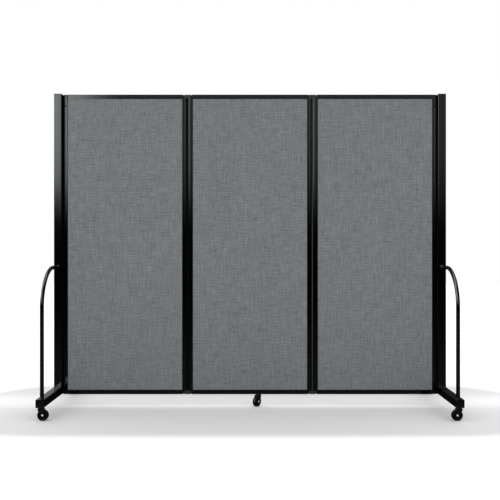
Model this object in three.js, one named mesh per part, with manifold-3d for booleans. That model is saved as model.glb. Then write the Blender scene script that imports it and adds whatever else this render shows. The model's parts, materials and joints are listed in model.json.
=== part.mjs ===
// A folding partition wall in three fabric panels, with an end frame at each side and five casters.
// Millimetres, +Z up. The origin is on the floor under the middle of the wall.
// +X runs along the wall to its right and -Y is its front.
import * as THREE from 'three';
import { mergeVertices } from 'three/addons/utils/BufferGeometryUtils.js';
import Module from 'manifold-3d';

const INCH = 25.4;

// Panels: an extruded frame round a core with a fabric-covered board on each face.
const PANEL_WIDTH = 24 * INCH;
const PANEL_HEIGHT = 1473.6;
const PANEL_BOTTOM = 59.7;
const PANEL_THICKNESS = 22.2;
const RAIL_FACE = 22;
const RAIL_WALL = 2;
const RAIL_EDGE_RADIUS = 1.5;
const STILE_FACE = 24;
const STILE_WEB = 20;
const STILE_STEP = 1;
const FLANGE = 1;
const BOARD_THICKNESS = 3;

// Hinges: the pivots are at the centres of the stiles' half-round noses.
const JOINT_GAP = 4.8;
const NOSE_RADIUS = PANEL_THICKNESS / 2;
const NOSE_STEP = 0.6;
const PIN_RADIUS = 4;
const PIN_LENGTH = 30;
const PIN_BORE_RADIUS = 4.5;
const BLOCK_RADIUS = 7.5;
const BLOCK_HEIGHT = 16;
const BOSS_RADIUS = 5;
const BOSS_OFFSET = 7.4;
const BOSS_HEIGHT = 2;
const BLOCK_CLEARANCE = 0.4;
const SPINE_HALF_DEPTH = 6;
const TAB_THICKNESS = 3;
const TAB_INSET = 60;
const TAB_PIN_LENGTH = 24;

// End frames: square tube for the post and leg, round tube for the two arches.
const TUBE = 1.5 * INCH;
const TUBE_WALL = 1.6;
const TUBE_CORNER = 3;
const LEG_LENGTH = 24 * INCH;
const LEG_CAP = 3;
const LEG_PLUG = 40;
const POST_TOP = 1533.5;
const POST_CAP = 2.5;
const POST_PLUG = 15;
const PLUG_CORNER = 2.2;
const ARCH_RADIUS = 0.375 * INCH;
const ARCH_WALL = 1.4;
const ARCH_FOOT = 272.5;
const ARCH_TOP = 684.5;
const ARCH_BEND = 178.5;
const ARCH_BEND_STEPS = 9;
const ARCH_SIDES = 10;
const WELD_GAP = 0.1;

// Casters: the wheel trails behind a stem that turns in its socket.
const WHEEL_RADIUS = 25;
const WHEEL_WIDTH = 17;
const WHEEL_SEGMENTS = 24;
const HUB_RADIUS = 8.5;
const HUB_RECESS = 3;
const RIM_RADIUS = 18.5;
const RIM_SLOPE = 1;
const SHOULDER = 2.2;
const AXLE_RADIUS = 3;
const AXLE_HEAD_RADIUS = 4.6;
const AXLE_HEAD = 1.6;
const AXLE_BORE_RADIUS = 3.4;
const CASTER_TRAIL = 10;
const FORK_GAP = 18.2;
const FORK_SHEET = 2.2;
const FORK_EYE = 8;
const FORK_HALF_LENGTH = 12;
const FORK_SHOULDER = 4;
const EYE_START = 1.1 * Math.PI;
const EYE_END = 2.05 * Math.PI;
const CROWN_BOTTOM = 51.8;
const CROWN_TOP = 54.6;
const RACE_RADIUS = 12.5;
const STEM_RADIUS = 4.75;
const STEM_BORE_RADIUS = 5.1;
const STEM_TOP = 90;
const LEG_STEM = 289.3;
const MIDDLE_STEM = 40;
const MIDDLE_HEADING = THREE.MathUtils.degToRad(232);
const SOCKET_HALF_LENGTH = 14;
const SOCKET_HEIGHT = 32;

// Clearance between neighbouring pieces.
const FIT = 0.3;

// How far a cut runs past the piece that it cuts, and a joined part into its neighbour.
const OVERLAP = 1;

// Sides of a full round, and steps in an outline's curve.
const ROD_SIDES = 12;
const RACE_SIDES = 16;
const NOSE_STEPS = 6;
const EYE_STEPS = 4;
const RAIL_STEPS = 4;
const CORNER_STEPS = 2;

const PANEL_TOP = PANEL_BOTTOM + PANEL_HEIGHT;
const PANEL_PITCH = PANEL_WIDTH + JOINT_GAP;
const HALF_WIDTH = PANEL_WIDTH / 2;
const STILE_TOP = PANEL_TOP - STILE_STEP;
const STILE_BOTTOM = PANEL_BOTTOM + STILE_STEP;
const FRAME_FACE = NOSE_RADIUS - NOSE_STEP;
const FLANGE_INNER = FRAME_FACE - FLANGE;
const BOARD_FACE = FLANGE_INNER - FIT;
const BOARD_HALF_WIDTH = HALF_WIDTH - STILE_WEB - FIT;
const BOARD_TOP = PANEL_TOP - RAIL_WALL - FIT;
const BOARD_BOTTOM = PANEL_BOTTOM + RAIL_WALL + FIT;
const CORE_HALF_THICKNESS = BOARD_FACE - BOARD_THICKNESS - FIT;
const PIVOT_OFFSET = JOINT_GAP / 2 + NOSE_RADIUS;
const NOTCH_DEPTH = NOSE_RADIUS + BLOCK_RADIUS + BLOCK_CLEARANCE;
const TUBE_HALF = TUBE / 2;
const LEG_BOTTOM = PANEL_BOTTOM;
const LEG_TOP = LEG_BOTTOM + TUBE;
const LEG_HALF = LEG_LENGTH / 2;
const PLUG_SIDE = TUBE - 2 * (TUBE_WALL + FIT);
const POST_X = PANEL_PITCH + HALF_WIDTH + JOINT_GAP + TUBE_HALF;
const SPINE_HALF_WIDTH = JOINT_GAP / 2 - FIT;
const FORK_OUTER = FORK_GAP / 2 + FORK_SHEET;

const wasm = await Module();
wasm.setup();

// The manifold solid of a closed three.js geometry.
function solid(geometry) {
  const bare = geometry.clone();
  bare.deleteAttribute('normal');
  bare.deleteAttribute('uv');
  const merged = mergeVertices(bare, 1e-4);
  return new wasm.Manifold(new wasm.Mesh({
    numProp: 3,
    vertProperties: new Float32Array(merged.attributes.position.array),
    triVerts: new Uint32Array(merged.index.array),
  }));
}

// The three.js geometry of a manifold solid.
function geometryOf(manifold) {
  const { vertProperties, triVerts } = manifold.getMesh();
  const geometry = new THREE.BufferGeometry();
  geometry.setAttribute('position', new THREE.BufferAttribute(vertProperties, 3));
  geometry.setIndex(new THREE.BufferAttribute(triVerts, 1));
  geometry.computeVertexNormals();
  return geometry;
}

function box(x0, x1, y0, y1, z0, z1) {
  const geometry = new THREE.BoxGeometry(x1 - x0, y1 - y0, z1 - z0);
  return geometry.translate((x0 + x1) / 2, (y0 + y1) / 2, (z0 + z1) / 2);
}

// An upright cylinder about the point x, y.
function rod(radius, z0, z1, x = 0, y = 0, sides = ROD_SIDES) {
  const geometry = new THREE.CylinderGeometry(radius, radius, z1 - z0, sides);
  return geometry.rotateX(Math.PI / 2).translate(x, y, (z0 + z1) / 2);
}

// An outline in X and Y, extruded upwards.
function upright(shape, z0, z1, curveSegments = NOSE_STEPS) {
  const options = { depth: z1 - z0, bevelEnabled: false, curveSegments };
  return new THREE.ExtrudeGeometry(shape, options).translate(0, 0, z0);
}

// An outline in Y and Z, extruded along X.
function lengthwise(shape, x0, x1) {
  const options = { depth: x1 - x0, bevelEnabled: false, curveSegments: RAIL_STEPS };
  const turn = new THREE.Matrix4().makeBasis(
    new THREE.Vector3(0, 1, 0),
    new THREE.Vector3(0, 0, 1),
    new THREE.Vector3(1, 0, 0),
  );
  return new THREE.ExtrudeGeometry(shape, options).applyMatrix4(turn).translate(x0, 0, 0);
}

function polygon(points) {
  return new THREE.Shape(points.map(([x, y]) => new THREE.Vector2(x, y)));
}

// A square with rounded corners, centred on the origin.
function roundedSquare(side, radius, target = new THREE.Shape()) {
  const inner = side / 2 - radius;
  target.absarc(inner, inner, radius, 0, Math.PI / 2);
  target.absarc(-inner, inner, radius, Math.PI / 2, Math.PI);
  target.absarc(-inner, -inner, radius, Math.PI, 1.5 * Math.PI);
  target.absarc(inner, -inner, radius, 1.5 * Math.PI, 2 * Math.PI);
  target.closePath();
  return target;
}

function finish(color, roughness, metalness) {
  return () => new THREE.MeshStandardMaterial({ color, roughness, metalness });
}

const blackPaint = finish(0x0c0d0e, 0.28, 0.3);
const blackMoulding = finish(0x17181a, 0.5, 0);
const greyFabric = finish(0x74777a, 0.95, 0);
const kraftCore = finish(0x9a7f58, 0.9, 0);
const brightSteel = finish(0xb9bbbd, 0.3, 0.9);
const wheelTread = finish(0x1b1c1e, 0.6, 0);

function piece(name, geometry, material) {
  const mesh = new THREE.Mesh(geometry, material());
  mesh.name = name;
  return mesh;
}

// The stile's section: a half-round nose with a bore for the hinge pins, and a channel for the boards.
// The nose stands a small step proud of the channel's faces.
function stileSection(side) {
  const edge = side * HALF_WIDTH;
  const nose = edge - side * NOSE_RADIUS;
  const inner = edge - side * STILE_FACE;
  const web = edge - side * STILE_WEB;
  const section = new THREE.Shape();
  section.absarc(nose, 0, NOSE_RADIUS, -Math.PI / 2, Math.PI / 2, side < 0);
  section.lineTo(nose, FRAME_FACE);
  section.lineTo(inner, FRAME_FACE);
  section.lineTo(inner, FLANGE_INNER);
  section.lineTo(web, FLANGE_INNER);
  section.lineTo(web, -FLANGE_INNER);
  section.lineTo(inner, -FLANGE_INNER);
  section.lineTo(inner, -FRAME_FACE);
  section.lineTo(nose, -FRAME_FACE);
  section.closePath();
  section.holes.push(new THREE.Path().absarc(nose, 0, PIN_BORE_RADIUS, 0, 2 * Math.PI));
  return section;
}

// What is cut from the stile's outer part between two heights, so that a hinge piece can turn there.
function stileNotch(side, z0, z1) {
  const outside = side * (HALF_WIDTH + OVERLAP);
  const inside = side * (HALF_WIDTH - NOTCH_DEPTH);
  const [x0, x1] = side > 0 ? [inside, outside] : [outside, inside];
  const reach = NOSE_RADIUS + OVERLAP;
  return solid(box(x0, x1, -reach, reach, z0, z1));
}

// A stile beside another panel is notched at both ends for the hinge blocks.
function joinedStile(side) {
  const bar = solid(upright(stileSection(side), STILE_BOTTOM, STILE_TOP));
  const depth = BLOCK_HEIGHT + BLOCK_CLEARANCE;
  const topNotch = stileNotch(side, STILE_TOP - depth, STILE_TOP + OVERLAP);
  const bottomNotch = stileNotch(side, STILE_BOTTOM - OVERLAP, STILE_BOTTOM + depth);
  return geometryOf(bar.subtract(topNotch).subtract(bottomNotch));
}

// A stile beside an end frame is slotted for the two tabs of the hinge strip.
function endStile(side) {
  let bar = solid(upright(stileSection(side), STILE_BOTTOM, STILE_TOP));
  for (const z of tabHeights()) {
    bar = bar.subtract(stileNotch(side, z - FIT, z + TAB_THICKNESS + FIT));
  }
  return geometryOf(bar);
}

function tabHeights() {
  return [PANEL_BOTTOM + TAB_INSET, PANEL_TOP - TAB_INSET];
}

// A rail is a channel with rounded outer edges, and its wall runs on as a tongue into each stile.
// direction is 1 for the top rail and -1 for the bottom rail.
function rail(direction) {
  const outer = direction > 0 ? PANEL_TOP : PANEL_BOTTOM;
  const at = (depth) => outer - direction * depth;
  const section = new THREE.Shape();
  const corner = FRAME_FACE - RAIL_EDGE_RADIUS;
  section.moveTo(-FRAME_FACE, at(RAIL_FACE));
  section.lineTo(-FRAME_FACE, at(RAIL_EDGE_RADIUS));
  section.quadraticCurveTo(-FRAME_FACE, outer, -corner, outer);
  section.lineTo(corner, outer);
  section.quadraticCurveTo(FRAME_FACE, outer, FRAME_FACE, at(RAIL_EDGE_RADIUS));
  section.lineTo(FRAME_FACE, at(RAIL_FACE));
  section.lineTo(FLANGE_INNER, at(RAIL_FACE));
  section.lineTo(FLANGE_INNER, at(RAIL_WALL));
  section.lineTo(-FLANGE_INNER, at(RAIL_WALL));
  section.lineTo(-FLANGE_INNER, at(RAIL_FACE));
  section.closePath();
  const reach = HALF_WIDTH - STILE_FACE - FIT;
  const tongue = HALF_WIDTH - STILE_WEB - FIT;
  const [z0, z1] = direction > 0 ? [at(RAIL_WALL), outer] : [outer, at(RAIL_WALL)];
  const wall = box(-tongue, tongue, -corner, corner, z0, z1);
  return solid(lengthwise(section, -reach, reach)).add(solid(wall));
}

function board(direction) {
  const outer = direction * BOARD_FACE;
  const inner = direction * (BOARD_FACE - BOARD_THICKNESS);
  const [y0, y1] = direction > 0 ? [inner, outer] : [outer, inner];
  return box(-BOARD_HALF_WIDTH, BOARD_HALF_WIDTH, y0, y1, BOARD_BOTTOM, BOARD_TOP);
}

function core() {
  const half = CORE_HALF_THICKNESS;
  return box(-BOARD_HALF_WIDTH, BOARD_HALF_WIDTH, -half, half, BOARD_BOTTOM, BOARD_TOP);
}

// left and right say whether the panel's neighbour on that side is an end frame.
function panel(name, x, left, right) {
  const group = new THREE.Group();
  group.position.x = x;
  group.add(piece(`${name}_top_rail`, geometryOf(rail(1)), blackPaint));
  group.add(piece(`${name}_left_stile`, left ? endStile(-1) : joinedStile(-1), blackPaint));
  group.add(piece(`${name}_right_stile`, right ? endStile(1) : joinedStile(1), blackPaint));
  group.add(piece(`${name}_front_board`, board(-1), greyFabric));
  group.add(piece(`${name}_back_board`, board(1), greyFabric));
  return group;
}

// A side panel has a plain bottom rail and core.
function sidePanel(name, side) {
  const group = panel(name, side * PANEL_PITCH, side < 0, side > 0);
  group.add(piece(`${name}_bottom_rail`, geometryOf(rail(-1)), blackPaint));
  group.add(piece(`${name}_core`, core(), kraftCore));
  return group;
}

// The middle panel also holds a socket for its caster, inside the bottom rail.
function middlePanel() {
  const group = panel('middle', 0, false, false);
  const socketTop = BOARD_BOTTOM + SOCKET_HEIGHT;
  const bore = solid(rod(STEM_BORE_RADIUS, PANEL_BOTTOM - OVERLAP, socketTop + OVERLAP, MIDDLE_STEM));
  group.add(piece('middle_bottom_rail', geometryOf(rail(-1).subtract(bore)), blackPaint));
  const x0 = MIDDLE_STEM - SOCKET_HALF_LENGTH;
  const x1 = MIDDLE_STEM + SOCKET_HALF_LENGTH;
  const half = CORE_HALF_THICKNESS;
  const socket = solid(box(x0, x1, -half, half, BOARD_BOTTOM, socketTop)).subtract(bore);
  group.add(piece('middle_caster_socket', geometryOf(socket), blackMoulding));
  const deep = half + OVERLAP;
  const pocket = box(x0 - FIT, x1 + FIT, -deep, deep, BOARD_BOTTOM - OVERLAP, socketTop + FIT);
  group.add(piece('middle_core', geometryOf(solid(core()).subtract(solid(pocket))), kraftCore));
  return group;
}

// An oblong with round ends, between two points on the X axis.
function oblong(x0, x1, radius) {
  const shape = new THREE.Shape();
  shape.absarc(x1, 0, radius, -Math.PI / 2, Math.PI / 2);
  shape.absarc(x0, 0, radius, Math.PI / 2, 1.5 * Math.PI);
  shape.closePath();
  return shape;
}

// A hinge block links two panels at one end of their stiles: two pins, and two screw bosses outside.
// direction is 1 for the top block, whose pins point down, and -1 for the bottom block.
function hingeBlock(direction) {
  const outer = direction > 0 ? STILE_TOP : STILE_BOTTOM;
  const inner = outer - direction * BLOCK_HEIGHT;
  const sorted = (a, b) => [Math.min(a, b), Math.max(a, b)];
  const body = oblong(-PIVOT_OFFSET, PIVOT_OFFSET, BLOCK_RADIUS);
  let block = solid(upright(body, ...sorted(inner, outer)));
  const bridge = sorted(inner, outer + direction * BOSS_HEIGHT / 2);
  block = block.add(solid(box(-BOSS_OFFSET, BOSS_OFFSET, -BOSS_RADIUS, BOSS_RADIUS, ...bridge)));
  for (const side of [-1, 1]) {
    const boss = sorted(inner, outer + direction * BOSS_HEIGHT);
    block = block.add(solid(rod(BOSS_RADIUS, ...boss, side * BOSS_OFFSET)));
    const pin = sorted(inner + direction * OVERLAP, inner - direction * PIN_LENGTH);
    block = block.add(solid(rod(PIN_RADIUS, ...pin, side * PIVOT_OFFSET)));
  }
  return geometryOf(block);
}

// The spine is a flat bar that closes the gap between two noses, and clears them at every fold.
function hingeSpine() {
  const half = SPINE_HALF_WIDTH;
  const reach = BLOCK_HEIGHT + FIT;
  return box(-half, half, -SPINE_HALF_DEPTH, SPINE_HALF_DEPTH, STILE_BOTTOM + reach, STILE_TOP - reach);
}

function hinge(name, side) {
  const group = new THREE.Group();
  group.position.x = side * PANEL_PITCH / 2;
  group.add(piece(`${name}_hinge_top_block`, hingeBlock(1), blackMoulding));
  group.add(piece(`${name}_hinge_bottom_block`, hingeBlock(-1), blackMoulding));
  group.add(piece(`${name}_hinge_spine`, hingeSpine(), blackMoulding));
  return group;
}

// The strip on the post closes the gap to the panel's nose, and its two tabs carry the hinge pins.
// It is shaped for the right end frame, and turned about for the left one.
function hingeStrip(side) {
  const face = -TUBE_HALF - WELD_GAP;
  const front = -TUBE_HALF - JOINT_GAP + FIT;
  const pivot = -TUBE_HALF - JOINT_GAP - NOSE_RADIUS;
  const tab = polygon([[face, BLOCK_RADIUS], [face, -BLOCK_RADIUS]]);
  tab.absarc(pivot, 0, BLOCK_RADIUS, -Math.PI / 2, Math.PI / 2, true);
  let strip = solid(box(front, face, -SPINE_HALF_DEPTH, SPINE_HALF_DEPTH, STILE_BOTTOM, STILE_TOP));
  for (const z of tabHeights()) {
    const middle = z + TAB_THICKNESS / 2;
    const pin = rod(PIN_RADIUS, middle - TAB_PIN_LENGTH / 2, middle + TAB_PIN_LENGTH / 2, pivot);
    strip = strip.add(solid(upright(tab, z, z + TAB_THICKNESS))).add(solid(pin));
  }
  return geometryOf(strip).rotateZ(side > 0 ? 0 : Math.PI);
}

function squareTube() {
  const section = roundedSquare(TUBE, TUBE_CORNER);
  const inside = TUBE - 2 * TUBE_WALL;
  section.holes.push(roundedSquare(inside, TUBE_CORNER - TUBE_WALL, new THREE.Path()));
  return section;
}

// An upright square bar with rounded corners.
function squareBar(side, corner, z0, z1) {
  return upright(roundedSquare(side, corner), z0, z1, CORNER_STEPS);
}

// The leg lies along Y, with a hole in its underside for each caster stem.
function leg() {
  const middle = LEG_BOTTOM + TUBE_HALF;
  const tube = upright(squareTube(), -LEG_HALF, LEG_HALF, CORNER_STEPS).rotateX(Math.PI / 2);
  let bar = solid(tube.translate(0, 0, middle));
  for (const y of [-LEG_STEM, LEG_STEM]) {
    bar = bar.subtract(solid(rod(STEM_BORE_RADIUS, LEG_BOTTOM - OVERLAP, middle, 0, y)));
  }
  return geometryOf(bar);
}

// A leg's cap closes the tube, and its plug is the socket of the caster stem.
// direction is -1 at the front and 1 at the back.
function legCap(direction) {
  const middle = LEG_BOTTOM + TUBE_HALF;
  const start = LEG_HALF + WELD_GAP;
  const lid = squareBar(TUBE, TUBE_CORNER, start, LEG_HALF + LEG_CAP);
  const plug = squareBar(PLUG_SIDE, PLUG_CORNER, LEG_HALF - LEG_PLUG, start + OVERLAP);
  const turn = -direction * Math.PI / 2;
  const cap = solid(lid.rotateX(turn).translate(0, 0, middle));
  const body = cap.add(solid(plug.rotateX(turn).translate(0, 0, middle)));
  const bore = rod(STEM_BORE_RADIUS, LEG_BOTTOM, STEM_TOP + OVERLAP, 0, direction * LEG_STEM);
  return geometryOf(body.subtract(solid(bore)));
}

function postCap() {
  const lid = squareBar(TUBE, TUBE_CORNER, POST_TOP + WELD_GAP, POST_TOP + POST_CAP);
  const plug = squareBar(PLUG_SIDE, PLUG_CORNER, POST_TOP - POST_PLUG, POST_TOP + OVERLAP);
  return geometryOf(solid(lid).add(solid(plug)));
}

// An arch rises from the leg, bends through a quarter circle and runs level to the post.
// The first step is the upright, the last is the level run, and those between are the bend.
class ArchPath extends THREE.Curve {
  constructor(direction) {
    super();
    this.direction = direction;
    this.steps = ARCH_BEND_STEPS + 2;
  }

  bendAngle(u) {
    const step = THREE.MathUtils.clamp(Math.round(u * this.steps) - 1, 0, ARCH_BEND_STEPS);
    return step / ARCH_BEND_STEPS * Math.PI / 2;
  }

  getPointAt(u) {
    const y = ARCH_FOOT - ARCH_BEND + ARCH_BEND * Math.cos(this.bendAngle(u));
    const z = ARCH_TOP - ARCH_BEND + ARCH_BEND * Math.sin(this.bendAngle(u));
    const step = Math.round(u * this.steps);
    if (step === 0) return new THREE.Vector3(0, this.direction * y, LEG_TOP + WELD_GAP);
    if (step === this.steps) return new THREE.Vector3(0, this.direction * (TUBE_HALF + WELD_GAP), z);
    return new THREE.Vector3(0, this.direction * y, z);
  }

  getTangentAt(u) {
    const angle = this.bendAngle(u);
    return new THREE.Vector3(0, -this.direction * Math.sin(angle), Math.cos(angle));
  }
}

// A ring of points as a closed outline.
function ring(radius) {
  const points = [];
  for (let i = 0; i < ARCH_SIDES; i += 1) {
    const angle = i / ARCH_SIDES * 2 * Math.PI;
    points.push(new THREE.Vector2(radius * Math.cos(angle), radius * Math.sin(angle)));
  }
  return points;
}

function arch(direction) {
  const section = new THREE.Shape(ring(ARCH_RADIUS));
  section.holes.push(new THREE.Path(ring(ARCH_RADIUS - ARCH_WALL)));
  const path = new ArchPath(direction);
  return new THREE.ExtrudeGeometry(section, { steps: path.steps, extrudePath: path });
}

function endFrame(name, side) {
  const group = new THREE.Group();
  group.position.x = side * POST_X;
  const postTube = upright(squareTube(), LEG_TOP + WELD_GAP, POST_TOP, CORNER_STEPS);
  group.add(piece(`${name}_post`, postTube, blackPaint));
  group.add(piece(`${name}_post_cap`, postCap(), blackMoulding));
  group.add(piece(`${name}_leg`, leg(), blackPaint));
  group.add(piece(`${name}_front_leg_cap`, legCap(-1), blackMoulding));
  group.add(piece(`${name}_rear_leg_cap`, legCap(1), blackMoulding));
  group.add(piece(`${name}_front_arch`, arch(-1), blackPaint));
  group.add(piece(`${name}_rear_arch`, arch(1), blackPaint));
  group.add(piece(`${name}_hinge_strip`, hingeStrip(side), blackMoulding));
  return group;
}

// One leg of the fork: wide under the crown, narrowing to a round eye about the axle.
function forkSide(y) {
  const shape = new THREE.Shape();
  shape.moveTo(-FORK_HALF_LENGTH, CROWN_TOP);
  shape.lineTo(-FORK_HALF_LENGTH, CROWN_BOTTOM - FORK_SHOULDER);
  shape.absarc(CASTER_TRAIL, WHEEL_RADIUS, FORK_EYE, EYE_START, EYE_END);
  shape.lineTo(CASTER_TRAIL + FORK_HALF_LENGTH / 2, CROWN_TOP);
  shape.closePath();
  return upright(shape, 0, FORK_SHEET, EYE_STEPS).rotateX(Math.PI / 2).translate(0, y + FORK_SHEET, 0);
}

// A cylinder along Y through the wheel's centre.
function axleBar(radius, y0, y1) {
  const bar = new THREE.CylinderGeometry(radius, radius, y1 - y0, ROD_SIDES);
  return bar.translate(CASTER_TRAIL, (y0 + y1) / 2, WHEEL_RADIUS);
}

// The fork: stem, ball race, crown and two sides, with a hole for the axle.
function fork() {
  const raceTop = PANEL_BOTTOM - FIT;
  const front = CASTER_TRAIL + FORK_HALF_LENGTH / 2;
  let body = solid(box(-FORK_HALF_LENGTH, front, -FORK_OUTER, FORK_OUTER, CROWN_BOTTOM, CROWN_TOP));
  body = body.add(solid(rod(RACE_RADIUS, CROWN_TOP - OVERLAP, raceTop, 0, 0, RACE_SIDES)));
  body = body.add(solid(rod(STEM_RADIUS, CROWN_TOP, STEM_TOP)));
  body = body.add(solid(forkSide(-FORK_OUTER)));
  body = body.add(solid(forkSide(FORK_OUTER - FORK_SHEET)));
  const reach = FORK_OUTER + OVERLAP;
  return geometryOf(body.subtract(solid(axleBar(AXLE_BORE_RADIUS, -reach, reach))));
}

function axle() {
  const reach = FORK_OUTER + FIT;
  let bar = solid(axleBar(AXLE_RADIUS, -reach - OVERLAP, reach + OVERLAP));
  bar = bar.add(solid(axleBar(AXLE_HEAD_RADIUS, -reach - AXLE_HEAD, -reach)));
  bar = bar.add(solid(axleBar(AXLE_HEAD_RADIUS, reach, reach + AXLE_HEAD)));
  return geometryOf(bar);
}

// The wheel's section is a ring: bore, hub, recessed web, rim and rounded tread.
function wheel() {
  const half = WHEEL_WIDTH / 2;
  const lower = [
    [AXLE_BORE_RADIUS, -half],
    [HUB_RADIUS, -half],
    [RIM_RADIUS, -half + HUB_RECESS],
    [RIM_RADIUS + RIM_SLOPE, -half],
    [WHEEL_RADIUS - SHOULDER, -half],
    [WHEEL_RADIUS, -half + SHOULDER],
  ];
  const upper = lower.map(([radius, y]) => [radius, -y]).reverse();
  const outline = [...lower, ...upper, lower[0]].map(([radius, y]) => new THREE.Vector2(radius, y));
  return new THREE.LatheGeometry(outline, WHEEL_SEGMENTS).translate(CASTER_TRAIL, 0, WHEEL_RADIUS);
}

// heading is the direction in which the wheel trails from its stem.
function caster(name, x, y, heading) {
  const group = new THREE.Group();
  group.position.set(x, y, 0);
  group.rotation.z = heading;
  group.add(piece(`${name}_caster_fork`, fork(), blackPaint));
  group.add(piece(`${name}_caster_wheel`, wheel(), wheelTread));
  group.add(piece(`${name}_caster_axle`, axle(), brightSteel));
  return group;
}

const wall = new THREE.Group();
wall.add(middlePanel());
wall.add(caster('middle', MIDDLE_STEM, 0, MIDDLE_HEADING));
for (const [name, side] of [['left', -1], ['right', 1]]) {
  wall.add(sidePanel(name, side));
  wall.add(hinge(name, side));
  wall.add(endFrame(name, side));
  const inward = side < 0 ? 0 : Math.PI;
  wall.add(caster(`${name}_front`, side * POST_X, -LEG_STEM, inward));
  wall.add(caster(`${name}_rear`, side * POST_X, LEG_STEM, inward));
}

export default wall;
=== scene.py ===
"""A folding partition wall: its visible pieces, their finishes, and a plain studio round it.

Metres, +Z up, the wall's front towards -Y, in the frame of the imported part.
"""

import json
import math

import bpy
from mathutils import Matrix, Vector, noise

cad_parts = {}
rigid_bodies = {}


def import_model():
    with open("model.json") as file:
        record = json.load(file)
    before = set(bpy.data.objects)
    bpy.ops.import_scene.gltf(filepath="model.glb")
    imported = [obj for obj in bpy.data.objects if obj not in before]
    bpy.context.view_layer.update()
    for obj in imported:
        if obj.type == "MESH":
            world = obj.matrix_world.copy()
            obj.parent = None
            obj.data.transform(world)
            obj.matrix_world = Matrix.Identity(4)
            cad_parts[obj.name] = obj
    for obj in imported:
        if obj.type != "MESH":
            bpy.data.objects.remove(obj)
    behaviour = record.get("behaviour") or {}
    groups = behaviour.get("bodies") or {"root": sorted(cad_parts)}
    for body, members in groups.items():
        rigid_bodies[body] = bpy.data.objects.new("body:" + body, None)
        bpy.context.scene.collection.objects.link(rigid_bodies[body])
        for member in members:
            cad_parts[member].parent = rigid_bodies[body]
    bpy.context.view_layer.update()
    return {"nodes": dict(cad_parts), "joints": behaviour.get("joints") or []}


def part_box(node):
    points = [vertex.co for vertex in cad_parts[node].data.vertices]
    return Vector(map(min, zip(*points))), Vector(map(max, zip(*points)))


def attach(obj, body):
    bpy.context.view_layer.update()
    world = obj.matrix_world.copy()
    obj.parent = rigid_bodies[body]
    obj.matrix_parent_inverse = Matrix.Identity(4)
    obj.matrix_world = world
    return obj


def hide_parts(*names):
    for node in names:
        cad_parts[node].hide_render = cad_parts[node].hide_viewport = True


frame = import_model()

NODES = frame["nodes"]
JOINTS = {joint["name"]: joint for joint in frame["joints"]}
ACROSS = Vector((1, 0, 0))
BACK = Vector((0, 1, 0))
UP = Vector((0, 0, 1))

PANELS = ("middle", "left", "right")
SIDES = ("left", "right")
CASTERS = ("middle", "left_front", "left_rear", "right_front", "right_rear")

# Which way each one faces: along Y for cloths and for the ends of a leg, along Z for hinge blocks.
FACES = {"front": -1, "back": 1}
LEG_ENDS = {"front": -1, "rear": 1}
HINGE_BLOCKS = {"top": 1, "bottom": -1}

MILLIMETRE = 0.001

# How far apart the bands of a wave texture are at a scale of 1.
WAVE_PITCH = 2 * math.pi / 20

# How wide the softened edges are: first of the parts that come from the frame, then of the finer pieces.
PAINTED_EDGE = 0.45 * MILLIMETRE
MOULDED_EDGE = 0.6 * MILLIMETRE
PRESSED_EDGE = 0.5 * MILLIMETRE
BOARD_EDGE = 0.3 * MILLIMETRE
CAP_EDGE = 0.3 * MILLIMETRE
TURNED_EDGE = 0.15 * MILLIMETRE
SMALL_EDGE = 0.1 * MILLIMETRE

# An edge is softened if it is bent by more than the angle. Points closer than the distance become one first.
SHARP_ANGLE = math.radians(35)
SAME_POINT = 0.01 * MILLIMETRE

# Steps in a round corner, and in a fold of the fabric.
CORNER_STEPS = 6
FOLD_STEPS = 4

# Fabric: stretched over the board, folded round its edges and stuck to its back.
FABRIC_FOLD = 0.8 * MILLIMETRE
FABRIC_RETURN = 15 * MILLIMETRE
FABRIC_CROWN = 0.45 * MILLIMETRE
FABRIC_CROWN_EDGE = 30 * MILLIMETRE
FABRIC_UNEVENNESS = 0.12 * MILLIMETRE
FABRIC_SWELLS_PER_METRE = 11
FABRIC_SWELL_SHIFT = 3
FABRIC_COLUMNS = 72
FABRIC_ROWS = 168
BOARD_INSET = 0.9 * MILLIMETRE
YARN_PITCH = 1.5 * MILLIMETRE
HEAVY_YARN_PITCH = 14.7 * MILLIMETRE

# Slubs across a yarn and along it, and how much the flecks show next to either yarn's slubs.
SLUBS_PER_METRE = (340, 20)
FLECK_SHARE = 0.6

# Hinge screws, and how far each is from the middle of its block.
SCREW_RADIUS = 3.2 * MILLIMETRE
SCREW_OFFSET = 7.4 * MILLIMETRE
SCREW_SIDES = 48
SCREW_RINGS = 12

# A screw's dome and skirt and the cross in it, as shares of its radius.
SCREW_DOME = 0.35
SCREW_SKIRT = 0.3
CROSS_DEPTH = 0.22
CROSS_WIDTH = 0.3
CROSS_REACH = 0.62

# Arches, and welds, whose open ends taper to the tip's share of their full size.
ARCH_SIDES = 32
BEND_RADIUS = 178.5 * MILLIMETRE
BEND_STEPS = 36
WELD_RADIUS = 1.7 * MILLIMETRE
WELD_RIPPLE = 0.22 * MILLIMETRE
WELD_PITCH = 2.6 * MILLIMETRE
WELD_SIDES = 12
WELD_TIP = 0.25
RING_WELD_STEPS = 96
LINE_WELD_STEPS = 60

# Tube caps: a fluted plug between the tube's walls, and a lid with a rounded rim and a dished middle.
TUBE_CORNER = 3 * MILLIMETRE
TUBE_WALLS = 4 * MILLIMETRE
PLUG_CORNER = 2 * MILLIMETRE
PLUG_FLUTE = 1.1 * MILLIMETRE
PLUG_FLUTES = 4
POST_LID = 2.4 * MILLIMETRE
LEG_LID = 3 * MILLIMETRE
CAP_ROUNDING = 1.6 * MILLIMETRE
DISH_INSET = 5.5 * MILLIMETRE
DISH_SLOPE = 1 * MILLIMETRE
DISH_DEPTH = 0.5 * MILLIMETRE
DISH_CORNER = 2 * MILLIMETRE
STEM_BORE = 5.1 * MILLIMETRE
BORE_SIDES = 48

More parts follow.
